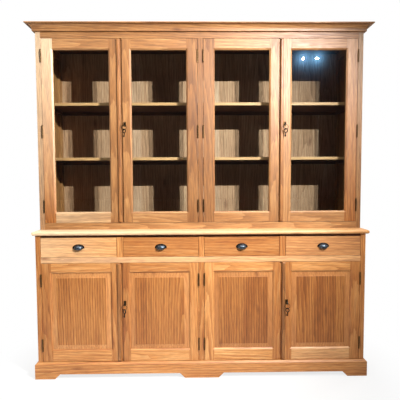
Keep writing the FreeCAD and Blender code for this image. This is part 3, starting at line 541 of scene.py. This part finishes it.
# %% All the boards
BAYS = (1, 2, 3, 4)     # each bay has a drawer, a door below and a door above
WOODEN = {
    upper_teak: ["hutch_sides", "hutch_face_frame", "cornice"] + ["upper_door_%d_frame" % n for n in BAYS],
    frame_teak: ["plinth", "base_sides", "base_face_frame"] + ["lower_door_%d_frame" % n for n in BAYS],
    pale_teak: ["counter_top"],
    # painted shade: the inside of the carcass painted dark, as its own teak looks where no lamp reaches
    shade_painted_teak: ["base_floor", "base_back", "base_partition", "runners_and_cleats",
                  "hutch_floor", "hutch_roof"],
    back_teak: ["hutch_back"],
}
OTHERS = {
    "upper_door_1_frame": {UPPER_STRIP: strip_teak, LEFT_STILE: golden_teak},
    "upper_door_4_frame": {UPPER_STRIP: strip_teak, RIGHT_STILE: golden_teak},
    "lower_door_1_frame": {LOWER_STRIP: strip_teak},
    "lower_door_4_frame": {LOWER_STRIP: strip_teak},
    # painted shade: the recessed rail under the counter painted dark, as it looks in the counter's shadow
    "base_face_frame": {SHADOW_RAIL: shade_painted_teak},
}
SQUARE, STEEP, FORWARD = 0.998, 0.3, 0.6    # how far a face's direction points to the front, up to 1


def leans_forward(way):
    """True for the bevels of a panel: they look forward, but not squarely."""
    return -SQUARE < way.y < -STEEP


def looks_forward(way):
    """True for the front of a shelf, which gets the painted light."""
    return way.y < -FORWARD


for finish, nodes in WOODEN.items():
    print(finish.name, "on", sum(boards(node, finish, OTHERS.get(node)) for node in nodes), "boards")
for number in BAYS:
    boards("drawer_%d_box" % number, frame_teak, dict.fromkeys(INNER_BOARDS, drawer_teak))
    # panels: their bevels get a painted highlight
    boards("lower_door_%d_panel" % number, panel_teak, second=bevel_highlight_teak, chosen=leans_forward)
# shelves: painted shade on the tops and undersides, painted light on the fronts
boards("shelves", shade_painted_teak, second=lit_edge_teak, chosen=looks_forward)
print(drawer_teak.name, "in the drawers,", panel_teak.name, "in the doors,",
      lit_edge_teak.name, "on the shelves")

# %% [markdown]
# ## Glass
# The panes are plain float glass, four millimetres thick. Such a thin pane hardly bends what is behind
# it, so its shader lets rays straight through and only adds the mirror that glass is at its surface:
# four percent where one looks straight at it, and more at a slant, by the fifth power of the slant.
# Full refraction would keep the lamps off the shelves. A thin film of grease on it draws a bluish haze
# around the lamps.

# %% Glass
STRAIGHT_MIRROR, SLANT_POWER = 0.04, 5.0
FILM_SHARE, FILM_ROUGHNESS = 0.022, 0.14


def float_glass():
    """Clear flat glass: seen through, with a sharp mirror and a little haze on its surface."""
    material, tree, output = blank_material("float_glass")
    slant = add(tree, "ShaderNodeLayerWeight", inputs={"Blend": 0.5}).outputs["Facing"]
    steep = add(tree, "ShaderNodeMath", {"operation": "POWER"}, {0: slant, 1: SLANT_POWER})
    share = add(tree, "ShaderNodeMath", {"operation": "MULTIPLY_ADD"},
                {0: steep.outputs[0], 1: 1 - STRAIGHT_MIRROR, 2: STRAIGHT_MIRROR})
    clear = add(tree, "ShaderNodeBsdfTransparent", inputs={"Color": colour("#f6f9f7")})
    sharp = add(tree, "ShaderNodeBsdfAnisotropic", inputs={"Color": colour("#ffffff"), "Roughness": 0.0})
    film = add(tree, "ShaderNodeBsdfAnisotropic",
               inputs={"Color": colour("#6fa4d0"), "Roughness": FILM_ROUGHNESS})
    mirror = add(tree, "ShaderNodeMixShader",
                 inputs={0: FILM_SHARE, 1: sharp.outputs[0], 2: film.outputs[0]})
    pane = add(tree, "ShaderNodeMixShader",
               inputs={0: share.outputs[0], 1: clear.outputs[0], 2: mirror.outputs[0]})
    tree.links.new(pane.outputs[0], output.inputs["Surface"])
    return material


# floated flat: clear, with sharp reflections and a faint haze
pane_glass = float_glass()
for number in BAYS:
    pane = frame["nodes"]["upper_door_%d_glass" % number]
    pane.data.materials.clear()
    pane.data.materials.append(pane_glass)
print("panes:", pane_glass.name)

# %% [markdown]
# ## Metal
# Hinges, keys and pulls are old metal: the brass has gone brown and the iron nearly black, and both are
# brighter where hands have rubbed them. Clouds of noise make that patina, a few millimetres across. The
# same clouds change the gloss, so that a highlight breaks up as it does on handled metal.

# %% Metal
PATINA = 6 * MM
PIT_DEPTH, PIT_RELIEF = 0.2 * MM, 0.2
TARNISH_DULLER, RUBBED_SMOOTHER = 0.15, 0.1     # how their roughness differs from the metal's own


def metal(name, dark, worn, roughness):
    """Metal with a patina: dark where it has tarnished, and a worn colour where it is rubbed."""
    material, tree, output = blank_material(name)
    spot = add(tree, "ShaderNodeTexCoord").outputs["Object"]
    cloud = add(tree, "ShaderNodeTexNoise",
                inputs={"Vector": spot, "Scale": 1 / PATINA, "Detail": 5}).outputs["Fac"]
    rubbed = add(tree, "ShaderNodeValToRGB", inputs={"Fac": cloud})
    ramp_colours(rubbed, ((0.35, dark), (0.7, worn)))
    gloss = add(tree, "ShaderNodeMapRange", inputs={
        "Value": cloud, "From Min": 0.3, "From Max": 0.7,
        "To Min": roughness + TARNISH_DULLER, "To Max": roughness - RUBBED_SMOOTHER}).outputs[0]
    relief = add(tree, "ShaderNodeBump",
                 inputs={"Strength": PIT_RELIEF, "Distance": PIT_DEPTH, "Height": cloud})
    surface = add(tree, "ShaderNodeBsdfPrincipled", inputs={
        "Base Color": rubbed.outputs[0], "Metallic": 1.0, "Roughness": gloss, "Normal": relief.outputs[0]})
    tree.links.new(surface.outputs[0], output.inputs["Surface"])
    return material


# turned brass, gone brown: a dull warm glint on the hinges
tarnished_brass = metal("tarnished_brass", "#3a2a1c", "#6b5233", 0.45)
# nickel worn down to its dark base: nearly black, with the sharpest glints
worn_nickel = metal("worn_nickel", "#0e0d0c", "#3a3630", 0.3)
# cast iron with a black finish: cool and dark
blackened_iron = metal("blackened_iron", "#17181a", "#34373b", 0.4)
# the same iron rubbed by fingertips: a steel grey that catches the light
rubbed_iron = metal("rubbed_iron", "#30363c", "#66717c", 0.42)
print("metals:", tarnished_brass.name, worn_nickel.name, blackened_iron.name, rubbed_iron.name)

# %% [markdown]
# ## Hinges and locks
# The hinges are turned brass knuckles with a ball at each end, the catches are nickel, the escutcheons
# thin brass and the lock cases black iron. Each copy gets its edges broken with a fine file, because a
# bright line along the edge is what makes metal read as metal. A knuckle is known by the door axis that
# runs through its box, so no list of names is needed. The ball sits on the outer end: below on the
# frame's half, above on the door's half.

# %% Hinges and locks
FILED = 0.4 * MM
BALL = 4.2 * MM
AXIS_NEAR, AXIS_BELOW = 20 * MM, 10 * MM
SHEET, SHEET_TALL, CASE_TALL = 3 * MM, 20 * MM, 30 * MM
axes = [Vector(joint["pos_m"]) for joint in behaviour["joints"] if joint["name"].endswith("_hinge")]


def end_points(triangles):
    """The low and the high corner of a solid's box."""
    columns = list(zip(*[p for t in triangles for p in t]))
    return Vector([min(column) for column in columns]), Vector([max(column) for column in columns])


def hinge_axis(low, high):
    """The door axis that runs through a small solid's box, or None."""
    for axis in axes:
        inside = low.x < axis.x < high.x and low.y < axis.y < high.y
        if inside and axis.y - low.y < AXIS_NEAR and low.z > axis.z - AXIS_BELOW:
            return axis
    return None


def ball_end(axis, z):
    """The turned ball that ends a hinge knuckle."""
    bpy.ops.object.select_all(action="DESELECT")
    bpy.ops.mesh.primitive_uv_sphere_add(segments=20, ring_count=12, radius=BALL,
                                         location=(axis.x, axis.y, z))
    bpy.ops.object.transform_apply(location=True, rotation=True, scale=True)
    bpy.ops.object.shade_smooth()
    ball = bpy.context.object
    ball.data.materials.append(tarnished_brass)
    return ball


def fitting_finish(low, high):
    """Brass for an escutcheon, iron for a lock case, and nickel for the small rest."""
    if high.y - low.y < SHEET and high.z - low.z > SHEET_TALL:
        return tarnished_brass
    return blackened_iron if high.z - low.z > CASE_TALL else worn_nickel


def metalwork(node):
    """Stands in for the fittings of a door or of the carcass, and counts its knuckles."""
    pieces = []
    knuckles = 0
    for triangles in solids_of(node):
        low, high = end_points(triangles)
        axis = hinge_axis(low, high)
        finish = fitting_finish(low, high)
        if axis is not None:
            finish = tarnished_brass
            knuckles += 1
            pieces.append(ball_end(axis, low.z if node == "frame_fittings" else high.z))
        pieces.append(copy_solid("fitting", triangles, FILED, finish))
    wear(join(pieces, node + "_metalwork"), node)
    return knuckles


fitted = [node for node in frame["nodes"] if node.endswith("_fittings")]
print("knuckles:", sum(metalwork(node) for node in fitted))

# %% [markdown]
# ## Keys and bolts
# Keys, rings and bolts are filed the same way. A ring of wire and a spare key are so thin that they
# would be lost from a few steps away, so the rings get a little more metal all round, and the spare
# keys a millimetre.

# %% Keys and bolts
EXTRA = (0.4 * MM, 1.0 * MM)    # for the ring, then for the spare key


def fatten(piece, extra):
    """Adds metal all round a piece."""
    pick(piece)
    bpy.ops.object.mode_set(mode="EDIT")
    bpy.ops.mesh.select_all(action="SELECT")
    bpy.ops.transform.shrink_fatten(value=extra)
    bpy.ops.object.mode_set(mode="OBJECT")


lock_parts = [node for node in frame["nodes"] if node.endswith(("_key", "_bolt"))]
for node in lock_parts:
    pieces = [copy_solid("key", triangles, FILED, worn_nickel) for triangles in solids_of(node)]
    if node.endswith("_spare_key"):
        for piece, extra in zip(pieces, EXTRA):
            fatten(piece, extra)
    wear(join(pieces, node + "_filed"), node)
print("keys and bolts:", len(lock_parts))

# %% [markdown]
# ## Tools for shaping
# The pulls of the drawers are shaped as by hand: a primitive is added at its size and place, opened in
# edit mode, cut by planes and given a wall. Three small tools hold the steps that repeat. The bevel
# leaves slivers where a sheet comes to a point, and they are merged away at the end, because they would
# be stray faces in the mesh.

# %% Shaping tools
CREASE, SMOOTH = math.radians(50), math.radians(40)
TINY = 0.02 * MM


def open_up(finish):
    """Puts the place of the primitive just added into its mesh, and opens it with all of it selected."""
    bpy.ops.object.transform_apply(location=True, rotation=True, scale=True)
    piece = bpy.context.object
    piece.data.materials.append(finish)
    bpy.ops.object.mode_set(mode="EDIT")
    bpy.ops.mesh.select_all(action="SELECT")
    return piece


def cut_off(spot, way):
    """Cuts the piece in edit mode by a plane and keeps the side that way points to."""
    bpy.ops.mesh.select_all(action="SELECT")
    bpy.ops.mesh.bisect(plane_co=spot, plane_no=way, clear_inner=True)


def thicken(piece, thickness, edge):
    """Gives a sheet its thickness and a broken edge, clears slivers and smooths its curves."""
    pick(piece)
    wall = piece.modifiers.new("wall", "SOLIDIFY")
    wall.thickness = thickness
    bpy.ops.object.modifier_apply(modifier=wall.name)
    bevel = piece.modifiers.new("broken edge", "BEVEL")
    bevel.width = edge
    bevel.segments = EDGE_STEPS
    bevel.limit_method = "ANGLE"
    bevel.angle_limit = CREASE
    bpy.ops.object.modifier_apply(modifier=bevel.name)
    bpy.ops.object.mode_set(mode="EDIT")
    bpy.ops.mesh.select_all(action="SELECT")
    bpy.ops.mesh.remove_doubles(threshold=TINY)
    bpy.ops.mesh.dissolve_degenerate(threshold=TINY)
    bpy.ops.object.mode_set(mode="OBJECT")
    bpy.ops.object.shade_smooth_by_angle(angle=SMOOTH)


print("edges over", round(math.degrees(CREASE)), "degrees are broken")

# %% [markdown]
# ## Cup pulls
# Each drawer has a cast iron cup pull. Its flange is a flat eyelid on the drawer front: it starts as a
# disc, is squeezed to an oval, loses its middle and is cut off below. The cup starts as a ball,
# squeezed the same way and cut off twice: by the drawer face, and by a slanting plane that leaves the
# mouth for the fingertips. Then both sheets get their thickness and a broken edge. The cup is paler
# than the flange, as fingers rub it.

# %% Cup pulls
EYE_RISE, EYE_HALF, MOUTH_DROP = 14 * MM, 21.5 * MM, 4 * MM
CUP_HALF, CUP_RISE, CUP_WALL, CUP_EDGE = 28.5 * MM, 17 * MM, 2 * MM, 0.5 * MM
FLANGE, FLANGE_EDGE = 2.5 * MM, 0.7 * MM
MOUTH_WAY = (0, -0.55, 0.83)


def flange_of(middle, face, eye, wide):
    """The eyelid that lies on the drawer front."""
    bpy.ops.object.select_all(action="DESELECT")
    bpy.ops.mesh.primitive_circle_add(vertices=72, radius=wide, fill_type="NGON",
                                      location=(middle, face - FLANGE, eye),
                                      rotation=(math.radians(90), 0, 0))
    flange = open_up(blackened_iron)
    bpy.ops.transform.resize(value=(1, 1, EYE_HALF / wide), center_override=(middle, face, eye))
    bpy.ops.mesh.inset(thickness=wide - CUP_HALF + CUP_WALL)
    bpy.ops.mesh.delete(type="FACE")
    cut_off((middle, face, eye - MOUTH_DROP), (0, 0, 1))
    bpy.ops.object.mode_set(mode="OBJECT")
    thicken(flange, FLANGE, FLANGE_EDGE)
    return flange


def cup_of(middle, face, eye, reach):
    """The hollow cup, open below."""
    centre = (middle, face, eye)
    bpy.ops.object.select_all(action="DESELECT")
    bpy.ops.mesh.primitive_uv_sphere_add(segments=64, ring_count=32, radius=reach, location=centre)
    cup = open_up(rubbed_iron)
    bpy.ops.transform.resize(value=(CUP_HALF / reach, 1, CUP_RISE / reach), center_override=centre)
    cut_off(centre, (0, -1, 0))
    cut_off((middle, face, eye - MOUTH_DROP), MOUTH_WAY)
    bpy.ops.object.mode_set(mode="OBJECT")
    thicken(cup, CUP_WALL, CUP_EDGE)
    return cup


def cup_pull(number):
    """Stands in for the pull of one drawer."""
    node = "drawer_%d_pull" % number
    low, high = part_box(node)
    wide, reach = (high.x - low.x) / 2, high.y - low.y
    middle, face, eye = low.x + wide, high.y, low.z + MOUTH_DROP + EYE_RISE
    flange = flange_of(middle, face, eye, wide)
    cup = cup_of(middle, face, eye, reach)
    return wear(join([flange, cup], node + "_cast"), node)


print("pulls:", [cup_pull(number).name for number in BAYS])

# %% [markdown]
# ## Floor
# The photograph shows the cabinet on white with a faint shadow at its feet. The floor is pale and
# diffuse. To the camera it also glows, so that only part of the shadow shows, and further away it glows
# fully and meets the white background without a line. Brighter lamps would whiten it too, but they
# would also bleach the wood.


# %% Floor
def seen_share(tree, mirrors=True):
    """One for what the camera sees, straight, through a pane or also in mirrors, and nought otherwise."""
    path = add(tree, "ShaderNodeLightPath").outputs
    seen = add(tree, "ShaderNodeMath", {"operation": "MAXIMUM"},
               {0: path["Is Camera Ray"], 1: path["Is Transmission Ray"]}).outputs[0]
    if mirrors:
        seen = add(tree, "ShaderNodeMath", {"operation": "MAXIMUM"},
                   {0: seen, 1: path["Is Glossy Ray"]}).outputs[0]
    first = add(tree, "ShaderNodeMath", {"operation": "LESS_THAN"},
                {0: path["Diffuse Depth"], 1: 0.5}).outputs[0]
    return add(tree, "ShaderNodeMath", {"operation": "MULTIPLY"}, {0: seen, 1: first}).outputs[0]


FLOOR_SIZE = 40
GLOW_NEAR, GLOW_FAR, GLOW_AT_FEET = 0.9, 1.4, 0.78      # metres from the middle, and the share up to there

bpy.ops.object.select_all(action="DESELECT")
bpy.ops.mesh.primitive_plane_add(size=FLOOR_SIZE)
floor = bpy.context.object
floor.name = "studio_floor"
# painted matt: pale, with a soft shadow and no gloss
material, tree, output = blank_material("pale_floor")
spot = add(tree, "ShaderNodeTexCoord").outputs["Object"]
distance = add(tree, "ShaderNodeVectorMath", {"operation": "LENGTH"}, {0: spot}).outputs["Value"]
glow_share = add(tree, "ShaderNodeMapRange", {"interpolation_type": "SMOOTHSTEP"}, {
    "Value": distance, "From Min": GLOW_NEAR, "From Max": GLOW_FAR, "To Min": GLOW_AT_FEET, "To Max": 1.0})
share = add(tree, "ShaderNodeMath", {"operation": "MULTIPLY"},
            {0: seen_share(tree, mirrors=False), 1: glow_share.outputs[0]})
paint = add(tree, "ShaderNodeBsdfDiffuse", inputs={"Color": colour("#e6e6e4")})
glow = add(tree, "ShaderNodeEmission", inputs={"Color": colour("#ffffff"), "Strength": 1.0})
mixed = add(tree, "ShaderNodeMixShader",
            inputs={0: share.outputs[0], 1: paint.outputs[0], 2: glow.outputs[0]})
tree.links.new(mixed.outputs[0], output.inputs["Surface"])
floor.data.materials.append(material)
print("floor:", FLOOR_SIZE, "m square")

# %% [markdown]
# ## Background
# The camera sees a white world, but hardly any light comes from it: the lamps do the lighting, and keep
# the depth of the shelves dark. Mirrors see the white too, except in front of the cabinet. There the
# world is dark for them, because panes that mirror plain white would hide what is behind them.

# %% World
AMBIENT = 0.01
DARK_FRONT = 0.03
FRONT_EDGE, SIDE_EDGE = -0.75, -0.3     # the y of a heading, which is -1 straight to the front

world = bpy.data.worlds.new("white_studio")
bpy.context.scene.world = world
world.use_nodes = True
tree = world.node_tree
tree.nodes.clear()
way = add(tree, "ShaderNodeTexCoord").outputs["Generated"]
heading = add(tree, "ShaderNodeSeparateXYZ", inputs={0: way})
front_dark = add(tree, "ShaderNodeMapRange", {"interpolation_type": "SMOOTHSTEP"}, {
    "Value": heading.outputs["Y"], "From Min": FRONT_EDGE, "From Max": SIDE_EDGE,
    "To Min": DARK_FRONT, "To Max": 1.0})
in_mirror = add(tree, "ShaderNodeLightPath").outputs["Is Glossy Ray"]
mirrored = add(tree, "ShaderNodeMix", {"data_type": "FLOAT"},
               {0: in_mirror, 2: 1.0, 3: front_dark.outputs[0]})
shown = add(tree, "ShaderNodeMix", {"data_type": "FLOAT"},
            {0: seen_share(tree), 2: AMBIENT, 3: mirrored.outputs[0]})
sky = add(tree, "ShaderNodeBackground", inputs={"Color": colour("#ffffff"), "Strength": shown.outputs[0]})
tree.links.new(sky.outputs[0], add(tree, "ShaderNodeOutputWorld").inputs["Surface"])
print("world light", AMBIENT)

# %% [markdown]
# ## Lamps
# Two small bright lamps hang high at the right, in front of the cabinet: they throw the lit patches on
# the boards behind the shelves and shine back from the pane. Their bulbs are small, so the patches have
# crisp edges. Wide disks above, in front and beside the cabinet give the soft light of a studio, and
# one behind lights its back.

# %% Lamps
SPOT_XS, SPOT_Y, SPOT_Z = (1139 * MM, 1293 * MM), -2000 * MM, 2500 * MM
SPOT_WATTS, SPOT_BULB, SPOT_ANGLE, SPOT_AIM = 400, 9 * MM, math.radians(90), (-0.75, -0.2, 1.1)
SOFT_LAMPS = {      # place, watts, width and aim of each disk
    "left_softbox": ((-1.2, -1.6, 4.0), 36, 1.6, (-0.4, 0, 1.0)),
    "right_softbox": ((1.2, -1.6, 4.0), 40, 1.6, (0.4, 0, 0.7)),
    "left_disk": ((-2.3, -2.6, 2.75), 8, 0.7, (-0.8, 0, 1.6)),
    "right_disk": ((2.3, -2.6, 2.75), 7, 0.7, (0.8, 0, 1.6)),
    "left_side_softbox": ((-3.2, 1.6, 2.8), 45, 1.2, (-1.0, 0.1, 1.0)),
    "right_side_softbox": ((3.2, 1.6, 2.8), 45, 1.2, (1.0, 0.1, 1.0)),
    "back_softbox": ((0, 3.4, 3.2), 90, 1.6, (0, 0.3, 1.0)),
}


def lamp(name, kind, spot, watts, aim):
    """A lamp at a place, pointed at its aim."""
    bpy.ops.object.light_add(type=kind, location=spot)
    light = bpy.context.object
    light.name = name
    light.data.energy = watts
    light.rotation_euler = (Vector(aim) - Vector(spot)).to_track_quat("-Z", "Y").to_euler()
    return light.data


for name, x in zip(("left_spot", "right_spot"), SPOT_XS):
    bulb = lamp(name, "SPOT", (x, SPOT_Y, SPOT_Z), SPOT_WATTS, SPOT_AIM)
    bulb.shadow_soft_size = SPOT_BULB
    bulb.spot_size = SPOT_ANGLE
    bulb.spot_blend = 1.0
for name, (spot, watts, width, aim) in SOFT_LAMPS.items():
    disk = lamp(name, "AREA", spot, watts, aim)
    disk.shape = "DISK"
    disk.size = width
